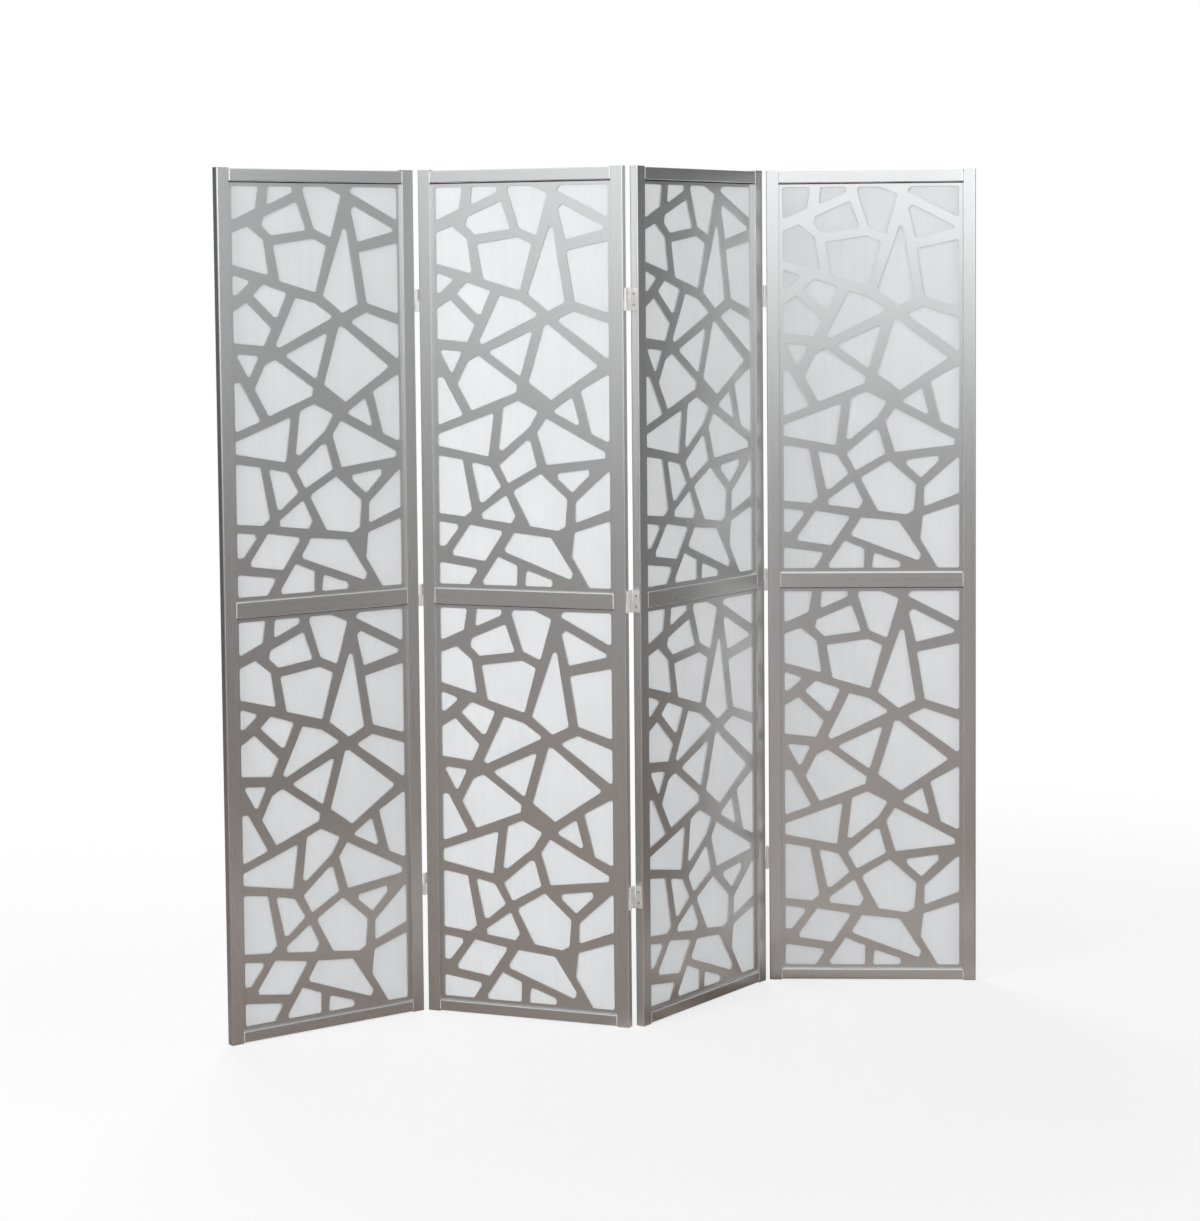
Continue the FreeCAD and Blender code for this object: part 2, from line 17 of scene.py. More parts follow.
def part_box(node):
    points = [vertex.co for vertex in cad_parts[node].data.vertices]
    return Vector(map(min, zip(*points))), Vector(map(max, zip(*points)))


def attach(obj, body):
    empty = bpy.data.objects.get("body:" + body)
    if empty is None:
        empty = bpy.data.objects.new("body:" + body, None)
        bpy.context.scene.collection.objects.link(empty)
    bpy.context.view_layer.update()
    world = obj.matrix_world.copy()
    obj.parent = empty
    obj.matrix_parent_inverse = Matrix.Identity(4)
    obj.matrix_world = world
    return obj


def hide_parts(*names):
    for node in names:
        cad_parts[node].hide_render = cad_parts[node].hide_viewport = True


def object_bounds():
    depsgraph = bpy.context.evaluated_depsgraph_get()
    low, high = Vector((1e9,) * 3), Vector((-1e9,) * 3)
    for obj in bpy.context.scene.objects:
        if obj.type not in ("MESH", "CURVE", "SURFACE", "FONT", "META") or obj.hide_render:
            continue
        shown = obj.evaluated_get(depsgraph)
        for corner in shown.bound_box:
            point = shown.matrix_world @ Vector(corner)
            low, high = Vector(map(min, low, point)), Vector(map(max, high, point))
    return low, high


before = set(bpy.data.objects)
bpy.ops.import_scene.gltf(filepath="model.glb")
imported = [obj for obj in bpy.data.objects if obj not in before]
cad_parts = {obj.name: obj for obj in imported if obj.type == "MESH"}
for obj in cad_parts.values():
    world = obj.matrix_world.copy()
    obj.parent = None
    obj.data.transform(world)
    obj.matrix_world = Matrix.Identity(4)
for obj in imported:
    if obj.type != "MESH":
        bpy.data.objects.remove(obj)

CAD_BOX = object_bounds()

log = logging.getLogger("partition_screen")

Colour = tuple[float, float, float]
Node = bpy.types.Node
Socket = bpy.types.NodeSocket
Outlets = bpy.types.bpy_prop_collection
Number = float | Socket
Tone = tuple[float, ...] | Socket

# Each panel's turn about the upright in degrees, from the left as the front is seen.
PANEL_TURNS = (32.0, -22.0, 50.0, -5.0)
# The pairs of neighbouring panels, as the hinges' nodes name them.
JOINTS = ("12", "23", "34")
# The photograph's frame in pixels.
PHOTO_WIDTH = 1200
PHOTO_HEIGHT = 1221
# Most of a noise texture's values lie between these two.
NOISE_LOW = 0.3
NOISE_HIGH = 0.7
# How an offset that sets one noise apart from another is shared among the three axes.
OFFSET_SHARES = (1.0, 0.7, 1.3)
# A part of one times the rest of it is a quarter at most, so this brings the most to one.
ARCH_SCALE = 4.0
# The bevel's value for a round edge.
ROUND_PROFILE = 0.5
# Two lengths nearer than this are the same.
SAME_LENGTH = 1e-6
# A slanted line along which a rail's faces are put in order, so that each run gives the same one.
FACE_ORDER = (1.0, 0.3719, 0.1147)


class Level(Enum):
    """The two openings of a panel."""

    UPPER = "upper"
    LOWER = "lower"


class Grain(Enum):
    """The way the wood's grain runs under the paint."""

    UPRIGHT = "upright"
    ALONG_RAIL = "along_rail"


class Rail(Enum):
    """The three rails of a panel, each with its label and its height as seen from the front."""

    TOP = ("top", 0.026)
    MID = ("mid", 0.034)
    BOTTOM = ("bottom", 0.0225)

    @property
    def label(self) -> str:
        """The rail's word in node names."""
        return self.value[0]

    @property
    def face(self) -> float:
        """The rail's height in metres."""
        return self.value[1]


class Coat(Enum):
    """The material slots of a rail."""

    PAINT = 0
    # A near-black strip under the rail, on the board's face: painted shadow of the gap between rail and
    # board.
    SEAM = 1
    # A pale strip at each end of the rail: painted highlight where the eased end edge catches the light.
    PAINTED_GLINT = 2


class Side(Enum):
    """The two stiles of a panel and the two panels of a joint, as the front is seen."""

    LEFT = "left"
    RIGHT = "right"


class Wiring:
    """A node tree with short calls to add and link its nodes."""

    def __init__(self, tree: bpy.types.NodeTree) -> None:
        """Keeps the tree.

        Args:
            tree: the node tree to build in, emptied first.
        """
        self.tree = tree
        tree.nodes.clear()

    def add(self, kind: str, inputs: dict | None = None, **settings: object) -> Node:
        """Adds a node.

        Args:
            kind: the node's type name.
            inputs: values or source sockets by input name or number.
            **settings: properties of the node itself.

        Returns:
            The new node.
        """
        node = self.tree.nodes.new(kind)
        for key, value in settings.items():
            setattr(node, key, value)
        for key, value in (inputs or {}).items():
            self.feed(node.inputs[key], value)
        return node

    def feed(self, socket: Socket, value: object) -> None:
        """Gives an input its value.

        Args:
            socket: the input.
            value: a value, or the socket that it comes from.
        """
        if isinstance(value, Socket):
            self.tree.links.new(value, socket)
        else:
            socket.default_value = value

    def maths(self, operation: str, *terms: Number) -> Socket:
        """Adds a Math node.

        Args:
            operation: the node's operation.
            *terms: numbers or sockets.

        Returns:
            Its value.
        """
        return self.add("ShaderNodeMath", dict(enumerate(terms)), operation=operation).outputs[0]

    def ramp(self, factor: Socket, low: float, high: float, to_low: float, to_high: float,
             smooth: bool = False) -> Socket:
        """Maps a range of a value onto another one, clamped.

        Args:
            factor: the value that is mapped.
            low: start of its range.
            high: end of its range.
            to_low: result at the start.
            to_high: result at the end.
            smooth: eases both ends.

        Returns:
            The mapped value.
        """
        return self.add("ShaderNodeMapRange",
                        {"Value": factor, "From Min": low, "From Max": high,
                         "To Min": to_low, "To Max": to_high},
                        interpolation_type="SMOOTHSTEP" if smooth else "LINEAR").outputs[0]

    def spread(self, noise: Socket, to_low: float, to_high: float) -> Socket:
        """Maps the usual range of a noise onto another one.

        Args:
            noise: the noise.
            to_low: result at its low end.
            to_high: result at its high end.

        Returns:
            The mapped value.
        """
        return self.ramp(noise, NOISE_LOW, NOISE_HIGH, to_low, to_high)

    def noise(self, place: Socket, cells: float, detail: float) -> Socket:
        """Adds a noise.

        Args:
            place: where it is read.
            cells: cells per unit of the place.
            detail: how many finer layers it has.

        Returns:
            Its factor.
        """
        return self.add("ShaderNodeTexNoise",
                        {"Vector": place, "Scale": cells, "Detail": detail}).outputs[0]

    def mapping(self, place: Socket, **values: tuple[float, ...]) -> Socket:
        """Adds a Mapping node.

        Args:
            place: the point that is mapped.
            **values: its Location, Rotation or Scale.

        Returns:
            The mapped point.
        """
        return self.add("ShaderNodeMapping", {"Vector": place, **values}).outputs[0]

    def blend(self, factor: Number, first: Tone, second: Tone) -> Socket:
        """Mixes two colours.

        Args:
            factor: the share of the second one.
            first: a colour or socket.
            second: a colour or socket.

        Returns:
            The mixed colour.
        """
        node = self.add("ShaderNodeMix", data_type="RGBA")
        for place, value in ((0, factor), (6, first), (7, second)):
            self.feed(node.inputs[place], value)
        return node.outputs[2]

    def here(self) -> Socket:
        """The point in the piece's own metres."""
        return self.add("ShaderNodeTexCoord").outputs["Object"]

    def show(self, shader: Node) -> None:
        """Makes a shader the material's surface.

        Args:
            shader: the shader.
        """
        self.add("ShaderNodeOutputMaterial", {"Surface": shader.outputs[0]})


def opaque(colour: Colour, factor: float = 1.0) -> tuple[float, float, float, float]:
    """A colour, made lighter or darker by a factor, with its alpha."""
    return (*(min(1.0, part * factor) for part in colour), 1.0)


def new_material(name: str) -> tuple[bpy.types.Material, Wiring]:
    """Makes an empty node material.

    Args:
        name: the material's name.

    Returns:
        The material and its wiring.
    """
    material = bpy.data.materials.new(name)
    material.use_nodes = True
    return material, Wiring(material.node_tree)


def new_object(name: str, data: bpy.types.ID) -> bpy.types.Object:
    """Puts a mesh, lamp or camera into the scene.

    Args:
        name: the object's name.
        data: the mesh, lamp or camera.

    Returns:
        The object, at the origin.
    """
    thing = bpy.data.objects.new(name, data)
    bpy.context.collection.objects.link(thing)
    return thing


@dataclass(frozen=True)
class SilverPaint:
    """Satin metallic silver paint over wood, with the grain and brush marks showing through.

    A share is the most by which a mark changes the tone or the roughness. Cells are counted per metre,
    across the grain and along it.
    """

    name: str
    grain: Grain
    turn: float = 0.0
    colour: Colour = (0.74, 0.738, 0.733)
    metallic: float = 0.92
    roughness: float = 0.28
    grain_cells: tuple[float, float] = (900.0, 9.0)
    grain_offset: float = 3.1
    grain_share: float = 0.005
    grain_height: float = 0.5
    streak_share: float = 0.014
    band_cells: tuple[float, float] = (160.0, 1.6)
    band_offset: float = 9.4
    band_share: float = 0.007
    cloud_cells: float = 7.0
    cloud_shade: float = 0.5
    cloud_share: float = 0.04
    detail: float = 2.0
    relief: float = 0.0000012
    relief_strength: float = 0.5

    def streaks(self, wires: Wiring, cells: tuple[float, float], offset: float) -> Socket:
        """Noise drawn out along the grain.

        Args:
            wires: the material's wiring.
            cells: cells per metre across the grain and along it.
            offset: sets this noise apart from others.

        Returns:
            Its factor.
        """
        across, along = cells
        if self.grain is Grain.UPRIGHT:
            scale = (across, across, along)
        else:
            scale = (along, across, across)
        turned = wires.mapping(wires.here(), Rotation=(0.0, 0.0, -self.turn))
        apart = tuple(offset * share for share in OFFSET_SHARES)
        return wires.noise(wires.mapping(turned, Scale=scale, Location=apart), 1.0, self.detail)

    def build(self) -> bpy.types.Material:
        """Makes the material.

        Returns:
            The material, which reads the piece's own metres.
        """
        material, wires = new_material(self.name)
        grain = self.streaks(wires, self.grain_cells, self.grain_offset)
        bands = self.streaks(wires, self.band_cells, self.band_offset)
        clouds = wires.noise(wires.here(), self.cloud_cells, self.detail)
        colour = wires.blend(wires.spread(grain, 0.0, 1.0), opaque(self.colour, 1.0 - self.streak_share),
                             opaque(self.colour))
        dull = wires.spread(clouds, 0.0, self.cloud_share)
        colour = wires.blend(dull, colour, opaque(self.colour, self.cloud_shade))
        broad = wires.spread(bands, self.roughness - self.band_share, self.roughness + self.band_share)
        rough = wires.maths("ADD", broad, wires.spread(grain, -self.grain_share, self.grain_share))
        height = wires.maths("ADD", wires.maths("MULTIPLY", grain, self.grain_height), bands)
        bump = wires.add("ShaderNodeBump", {"Strength": self.relief_strength, "Distance": self.relief,
                                            "Height": height})
        wires.show(wires.add("ShaderNodeBsdfPrincipled",
                             {"Base Color": colour, "Metallic": self.metallic, "Roughness": rough,
                              "Normal": bump.outputs[0]}))
        return material


@dataclass(frozen=True)
class FibreLay:
    """One lay of the cloth's fibres, with its cells per metre and its turn in radians."""

    across: float
    along: float
    turn: float


@dataclass(frozen=True)
class SheetCloth:
    """Thin white cloth of matted fibres, half see-through to light.

    Cells are counted per metre of the cloth's own map.
    """

    name: str = "translucent_cloth"
    colour: Colour = (0.90, 0.905, 0.91)
    shade: float = 0.93
    through_share: float = 0.32
    roughness: float = 0.75
    gloss_level: float = 0.12
    sheen: float = 0.15
    sheen_roughness: float = 0.5
    relief: float = 0.00012
    relief_strength: float = 0.5
    lays: tuple[FibreLay, ...] = (FibreLay(900.0, 60.0, 0.5), FibreLay(900.0, 60.0, -0.9),
                                  FibreLay(1500.0, 90.0, 1.9))
    fibre_detail: float = 3.0
    felt_range: tuple[float, float] = (0.5, 0.8)
    streak_cells: tuple[float, float, float] = (110.0, 2.5, 1.0)
    streak_detail: float = 4.0
    cloud_cells: float = 9.0
    cloud_detail: float = 3.0
    broad_share: float = 0.8
    felt_share: float = 0.2

    def felt(self, wires: Wiring, spot: Socket) -> Socket:
        """The lays of fibres on top of each other.

        Args:
            wires: the material's wiring.
            spot: the point on the cloth's map.

        Returns:
            Their height.
        """
        fibres = []
        for lay in self.lays:
            laid = wires.mapping(spot, Rotation=(0.0, 0.0, lay.turn))
            drawn = wires.mapping(laid, Scale=(lay.across, lay.along, 1.0))
            fibres.append(wires.noise(drawn, 1.0, self.fibre_detail))
        return wires.maths("MAXIMUM", wires.maths("MAXIMUM", fibres[0], fibres[1]), fibres[2])

    def build(self) -> bpy.types.Material:
        """Makes the material.

        Returns:
            The material, which reads the cloth's own map in metres.
        """
        material, wires = new_material(self.name)
        spot = wires.add("ShaderNodeUVMap", uv_map="UVMap").outputs[0]
        felt = self.felt(wires, spot)
        streaks = wires.noise(wires.mapping(spot, Scale=self.streak_cells), 1.0, self.streak_detail)
        clouds = wires.noise(spot, self.cloud_cells, self.cloud_detail)
        broad = wires.maths("ADD", wires.spread(streaks, 0.0, 0.5), wires.spread(clouds, 0.0, 0.5))
        tone = wires.maths("ADD", wires.maths("MULTIPLY", broad, self.broad_share),
                           wires.ramp(felt, *self.felt_range, 0.0, self.felt_share))
        colour = wires.blend(tone, opaque(self.colour, self.shade), opaque(self.colour))
        bump = wires.add("ShaderNodeBump", {"Strength": self.relief_strength, "Distance": self.relief,
                                            "Height": felt})
        surface = wires.add("ShaderNodeBsdfPrincipled",
                            {"Base Color": colour, "Roughness": self.roughness, "Sheen Weight": self.sheen,
                             "Sheen Roughness": self.sheen_roughness,
                             "Specular IOR Level": self.gloss_level, "Normal": bump.outputs[0]})
        through = wires.add("ShaderNodeBsdfTranslucent", {"Color": colour, "Normal": bump.outputs[0]})
        wires.show(wires.add("ShaderNodeMixShader", {0: self.through_share, 1: surface.outputs[0],
                                                     2: through.outputs[0]}))
        return material


@dataclass(frozen=True)
class BrushedMetal:
    """Plated steel with fine brush lines and some tarnish. Cells are counted per metre."""

    name: str
    colour: Colour
    roughness: float
    tarnish: float
    metallic: float = 1.0
    line_cells: tuple[float, float, float] = (900.0, 900.0, 60.0)
    line_share: float = 0.05
    spot_cells: float = 160.0
    spot_range: tuple[float, float] = (0.45, 0.75)
    spot_shade: float = 0.6
    spot_roughness: float = 0.4
    detail: float = 3.0
    relief: float = 0.00003
    relief_strength: float = 0.4

    def build(self) -> bpy.types.Material:
        """Makes the material.

        Returns:
            The material, which reads the piece's own metres.
        """
        material, wires = new_material(self.name)
        place = wires.here()
        brush = wires.noise(wires.mapping(place, Scale=self.line_cells), 1.0, self.detail)
        spots = wires.noise(place, self.spot_cells, self.detail)
        dull = wires.ramp(spots, *self.spot_range, 0.0, self.tarnish)
        colour = wires.blend(dull, opaque(self.colour), opaque(self.colour, self.spot_shade))
        lines = wires.spread(brush, self.roughness - self.line_share, self.roughness + self.line_share)
        rough = wires.maths("ADD", lines, wires.maths("MULTIPLY", dull, self.spot_roughness))
        bump = wires.add("ShaderNodeBump", {"Strength": self.relief_strength, "Distance": self.relief,
                                            "Height": brush})
        wires.show(wires.add("ShaderNodeBsdfPrincipled",
                             {"Base Color": colour, "Metallic": self.metallic, "Roughness": rough,
                              "Normal": bump.outputs[0]}))
        return material


def dress(node: str, material: bpy.types.Material) -> None:
    """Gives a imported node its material.

    Args:
        node: the node's name.
        material: its finish.
    """
    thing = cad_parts[node]
    if not thing.material_slots:
        thing.data.materials.append(material)
    for slot in thing.material_slots:
        slot.material = material
    log.info("%s: %s", node, material.name)


def bake(thing: bpy.types.Object) -> None:
    """Turns an object's modifiers into plain mesh.

    Args:
        thing: the object, which keeps its name.
    """
    ready = thing.evaluated_get(bpy.context.evaluated_depsgraph_get())
    mesh = bpy.data.meshes.new_from_object(ready)
    thing.modifiers.clear()
    old = thing.data
    thing.data = mesh
    bpy.data.meshes.remove(old)
    mesh.name = thing.name


@dataclass
class ClothTree:
    """A stretched cloth as a closed thin shell, made by Geometry Nodes once for all the cloths."""

    material: bpy.types.Material
    corners_across: int = 42
    corners_up: int = 88
    slack_cells: float = 9.0
    slack_detail: float = 2.0
    weld: float = 0.00002
    sockets: dict[str, str] = field(init=False, default_factory=dict)
    tree: bpy.types.NodeTree = field(init=False)

    def __post_init__(self) -> None:
        """Builds the tree."""
        self.tree = bpy.data.node_groups.new("stretched_cloth", "GeometryNodeTree")
        self.declare()
        wires = Wiring(self.tree)
        given = wires.add("NodeGroupInput").outputs
        grid = wires.add("GeometryNodeMeshGrid",
                         {"Size X": given["Width"], "Size Y": given["Height"],
                          "Vertices X": self.corners_across, "Vertices Y": self.corners_up})
        back = wires.maths("MULTIPLY", self.slack(wires, given, grid), -1.0)
        placed = wires.add("GeometryNodeSetPosition",
                           {"Geometry": grid.outputs["Mesh"],
                            "Offset": wires.add("ShaderNodeCombineXYZ", {2: back}).outputs[0]})
        closed = self.shell(wires, given, self.measured(wires, given, grid, placed))
        angles = wires.add("ShaderNodeCombineXYZ", {0: math.pi / 2, 2: given["Turn"]})
        turn = wires.add("FunctionNodeEulerToRotation", {0: angles.outputs[0]})
        stood = wires.add("GeometryNodeTransform",
                          {"Geometry": closed.outputs[0], "Translation": given["Centre"],
                           "Rotation": turn.outputs[0]})
        real = wires.add("GeometryNodeRealizeInstances", {0: stood.outputs[0]})
        finished = wires.add("GeometryNodeSetMaterial",
                             {"Geometry": real.outputs[0], "Material": self.material})
        wires.add("NodeGroupOutput", {0: finished.outputs[0]})

    def declare(self) -> None:
        """Names the tree's inputs and output, and keeps the inputs' identifiers."""
        for name, kind in (("Width", "Float"), ("Height", "Float"), ("Thickness", "Float"),
                           ("Slack", "Float"), ("Turn", "Float"), ("Centre", "Vector"), ("Seed", "Float")):
            socket = self.tree.interface.new_socket(name, in_out="INPUT", socket_type=f"NodeSocket{kind}")
            self.sockets[name] = socket.identifier
        self.tree.interface.new_socket("Geometry", in_out="OUTPUT", socket_type="NodeSocketGeometry")

    def slack(self, wires: Wiring, given: Outlets, grid: Node) -> Socket:
        """How far the cloth's middle lies behind its front, from nothing at the held edges.

        Args:
            wires: the tree's wiring.
            given: the tree's inputs.
            grid: the flat cloth.

        Returns:
            The distance, with half the thickness added.
        """
        apart = wires.add("ShaderNodeSeparateXYZ", {0: grid.outputs["UV Map"]}).outputs
        hold = []
        for part in (apart[0], apart[1]):
            arch = wires.maths("MULTIPLY", part, wires.maths("SUBTRACT", 1.0, part))
            hold.append(wires.maths("MULTIPLY", arch, ARCH_SCALE))
        free = wires.maths("MULTIPLY", *hold)
        noise = wires.add("ShaderNodeTexNoise",
                          {"W": given["Seed"], "Scale": self.slack_cells, "Detail": self.slack_detail},
                          noise_dimensions="4D").outputs[0]
        billow = wires.maths("MULTIPLY", wires.maths("MULTIPLY", free, noise), given["Slack"])
        return wires.maths("ADD", billow, wires.maths("MULTIPLY", given["Thickness"], 0.5))

    def measured(self, wires: Wiring, given: Outlets, grid: Node, placed: Node) -> Node:
        """Stores the cloth's map in metres.

        Args:
            wires: the tree's wiring.
            given: the tree's inputs.
            grid: the flat cloth.
            placed: the cloth with its slack.

        Returns:
            The node with the mapped cloth.
        """
        size = wires.add("ShaderNodeCombineXYZ", {0: given["Width"], 1: given["Height"]})
        flat = wires.add("ShaderNodeVectorMath", {0: grid.outputs["UV Map"], 1: size.outputs[0]},
                         operation="MULTIPLY")
        return wires.add("GeometryNodeStoreNamedAttribute",
                         {"Geometry": placed.outputs[0], "Name": "UVMap", "Value": flat.outputs[0]},
                         data_type="FLOAT2", domain="CORNER")

    def shell(self, wires: Wiring, given: Outlets, cloth: Node) -> Node:
        """Gives the cloth its thickness.

        Args:
            wires: the tree's wiring.
            given: the tree's inputs.
            cloth: the node with the thin cloth.

        Returns:
            The node with the closed shell.
        """
        raised = wires.add("GeometryNodeExtrudeMesh",
                           {"Mesh": cloth.outputs[0], "Offset Scale": given["Thickness"],
                            "Individual": False}, mode="FACES")
        under = wires.add("GeometryNodeFlipFaces", {"Mesh": cloth.outputs[0]})
        both = wires.add("GeometryNodeJoinGeometry")
        for part in (raised, under):
            self.tree.links.new(part.outputs[0], both.inputs[0])
        return wires.add("GeometryNodeMergeByDistance",
                         {"Geometry": both.outputs[0], "Distance": self.weld})

    def make(self, name: str, values: dict) -> bpy.types.Object:
        """Makes one cloth.

        Args:
            name: the piece's name.
            values: the tree's inputs by name.

        Returns:
            The cloth as a plain mesh object.
        """
        piece = new_object(name, bpy.data.meshes.new(name))
        modifier = piece.modifiers.new("cloth", "NODES")
        modifier.node_group = self.tree
        for key, value in values.items():
            modifier[self.sockets[key]] = value
        bake(piece)
        return piece


@dataclass
class Finishes:
    """Every finish of the screen, made once."""

    stile: bpy.types.Material = field(init=False)
    rails: list[bpy.types.Material] = field(init=False)
    board: bpy.types.Material = field(init=False)
    # Near-black finish of the strip under each rail: painted shadow.
    seam: bpy.types.Material = field(init=False)
    # Pale diffuse finish of the strips at the rails' ends: painted highlight.
    glint_strip: bpy.types.Material = field(init=False)
    cloth: bpy.types.Material = field(init=False)
    plate: bpy.types.Material = field(init=False)
    pin: bpy.types.Material = field(init=False)
    screw: bpy.types.Material = field(init=False)

    def __post_init__(self) -> None:
        """Builds the materials."""
        self.stile = SilverPaint("silver_stile", Grain.UPRIGHT).build()
        self.rails = [SilverPaint(f"silver_rail_{number}", Grain.ALONG_RAIL, math.radians(turn)).build()
                      for number, turn in enumerate(PANEL_TURNS, 1)]
        self.board = SilverPaint("silver_fretwork", Grain.UPRIGHT, streak_share=0.006, band_share=0.004,
                                 grain_share=0.003, relief=0.0000006).build()
        # Near-black paint for the strip under each rail, standing in for the shadow in the gap between
        # rail and board: painted shadow.
        self.seam = SilverPaint("seam_shadow", Grain.UPRIGHT, colour=(0.020, 0.019, 0.018),
                                metallic=1.0, roughness=0.7).build()
        # Pale diffuse paint for the strips at the rails' ends, standing in for the glint on the end edges:
        # painted highlight.
        self.glint_strip = SilverPaint("rail_end_painted_glint", Grain.UPRIGHT, colour=(0.93, 0.93, 0.92),
                                  metallic=0.0, roughness=0.6).build()
        self.cloth = SheetCloth().build()
        self.plate = BrushedMetal("hinge_plate", (0.90, 0.895, 0.875), 0.38, tarnish=0.1,
                                  metallic=0.55).build()
        self.pin = BrushedMetal("hinge_pin", (0.72, 0.71, 0.69), 0.3, tarnish=0.3).build()
        self.screw = BrushedMetal("screw_steel", (0.58, 0.57, 0.55), 0.36, tarnish=0.5).build()


@dataclass
class Panel:
    """One framed panel: its frame, two openwork boards and two cloths.

    A cloth is as large as its opening and 5.6 mm more on each side, in the groove. Angles are in degrees.
    """

    number: int
    finishes: Finishes
    cloth_tree: ClothTree
    cloth_width: float = 0.4122
    cloth_height: float = 0.86295
    cloth_thickness: float = 0.00045
    cloth_slack: float = 0.0005
    rail_length: float = 0.401
    rail_depth: float = 0.020
    rail_round: float = 0.0022
    rail_round_steps: int = 4
    stile_overhang: float = 0.002
    groove_front: float = 0.00815
    groove_width: float = 0.0037
    groove_depth: float = 0.006
    tongue_length: float = 0.0055
    tongue_play: float = 0.0002
    tongue_shoulders: float = 0.001
    # The near-black strip under each upper and middle rail, which paints the shadow between rail and
    # board.
    shadow_strip_height: float = 0.0020
    shadow_strip_depth: float = 0.0005
    shadow_strip_lap: float = 0.0004
    shadow_strip_end_gaps: float = 0.0006
    # The pale strips at the rails' ends, which paint the bright line where each end edge catches the
    # light.
    glint_width: float = 0.0014
    glint_front: float = 0.0003
    glint_back: float = 0.0015
    glint_clear: float = 0.00002
    board_weld: float = 0.000005
    board_flat_angle: float = 0.5
    board_round: float = 0.0005
    board_round_steps: int = 2
    board_round_angle: float = 40.0

    @property
    def name(self) -> str:
        """The panel's body."""
        return f"panel_{self.number}"

    @property
    def turn(self) -> float:
        """The panel's angle about the upright, in radians."""
        return math.radians(PANEL_TURNS[self.number - 1])

    def middle(self, node: str) -> Vector:
        """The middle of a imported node's box."""
        low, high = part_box(node)
        return (Vector(low) + Vector(high)) / 2

    def dress_stiles(self) -> None:
        """Paints the stiles."""
        for side in Side:
            dress(f"{self.name}_{side.value}_stile", self.finishes.stile)

    def rail_section(self, rail: Rail) -> list[tuple[float, float]]:
        """The outline of a rail cut across, as depth and height.

        Args:
            rail: the rail.

        Returns:
            The corners in order, with a groove on each side that meets a board.
        """
        front, back = self.groove_front, self.groove_front + self.groove_width
        tall = rail.face
        points = [(0.0, 0.0)]
        if rail is not Rail.BOTTOM:
            points += [(front, 0.0), (front, self.groove_depth), (back, self.groove_depth), (back, 0.0)]
        points += [(self.rail_depth, 0.0), (self.rail_depth, tall)]
        if rail is not Rail.TOP:
            deep = tall - self.groove_depth
            points += [(back, tall), (back, deep), (front, deep), (front, tall)]
        return [*points, (0.0, tall)]

    def rail_bar(self, rail: Rail) -> bmesh.types.BMesh:
        """The grooved bar of a rail with its outer edges eased, lying along X with its front at Y = 0.

        Args:
            rail: the rail.

        Returns:
            The bar.
        """
        half = self.rail_length / 2
        shape = bmesh.new()
        ends = [[shape.verts.new((side * half, depth, tall)) for depth, tall in self.rail_section(rail)]
                for side in (-1.0, 1.0)]
        shape.faces.new(reversed(ends[0]))
        shape.faces.new(ends[1])
        count = len(ends[0])
        for place in range(count):
            after = (place + 1) % count
            shape.faces.new((ends[0][place], ends[0][after], ends[1][after], ends[1][place]))
        edges = [edge for edge in shape.edges if self.on_skin(edge, rail)]
        bmesh.ops.bevel(shape, geom=edges, offset=self.rail_round, offset_type="OFFSET",
                        segments=self.rail_round_steps, profile=ROUND_PROFILE, affect="EDGES",
                        clamp_overlap=False)
        return shape

    def on_skin(self, edge: bmesh.types.BMEdge, rail: Rail) -> bool:
        """Whether an edge borders the rail's front, back, top or bottom, clear of the grooves.

        Args:
            edge: an edge of the rail before it is stood up.
            rail: the rail.

        Returns:
            True for the edges that are eased.
        """
        first, second = (vert.co for vert in edge.verts)
        flat = any(abs(first.y - depth) < SAME_LENGTH and abs(second.y - depth) < SAME_LENGTH
                   for depth in (0.0, self.rail_depth))
        level = any(abs(first.z - tall) < SAME_LENGTH and abs(second.z - tall) < SAME_LENGTH
                    for tall in (0.0, rail.face))
        crosswise = abs(first.x - second.x) < SAME_LENGTH
        return flat or (level and crosswise)

    def add_block(self, shape: bmesh.types.BMesh, size: tuple[float, float, float],
                  place: tuple[float, float, float], coat: Coat) -> None:
        """Adds a small block to a rail before it is stood up.

        Args:
            shape: the rail.
            size: the block's size.
            place: its middle.
            coat: its finish.
        """
        matrix = Matrix.LocRotScale(Vector(place), None, Vector(size))
        made = bmesh.ops.create_cube(shape, size=1.0, matrix=matrix)
        for face in {face for vert in made["verts"] for face in vert.link_faces}:
            face.material_index = coat.value

    def add_tongues(self, shape: bmesh.types.BMesh, rail: Rail) -> None:
        """Adds the tongue at each end, which sits in the stile's groove.

        Args:
            shape: the rail.
            rail: which rail it is.
        """
        size = (self.tongue_length, self.groove_width - self.tongue_play,
                rail.face - 2 * self.groove_depth - self.tongue_shoulders)
        for side in (-1.0, 1.0):
            out = side * (self.rail_length + self.tongue_length) / 2
            self.add_block(shape, size, (out, self.rail_depth / 2, rail.face / 2), Coat.PAINT)

    def add_painted_shadow(self, shape: bmesh.types.BMesh) -> None:
        """Adds a near-black strip under the rail's lower side, on the board's face: painted shadow of the
        gap between rail and board.

        Args:
            shape: the rail.
        """
        size = (self.rail_length - self.shadow_strip_end_gaps, self.shadow_strip_depth, self.shadow_strip_height + self.shadow_strip_lap)
        place = (0.0, self.groove_front - self.shadow_strip_depth / 2, (self.shadow_strip_lap - self.shadow_strip_height) / 2)
        self.add_block(shape, size, place, Coat.SEAM)

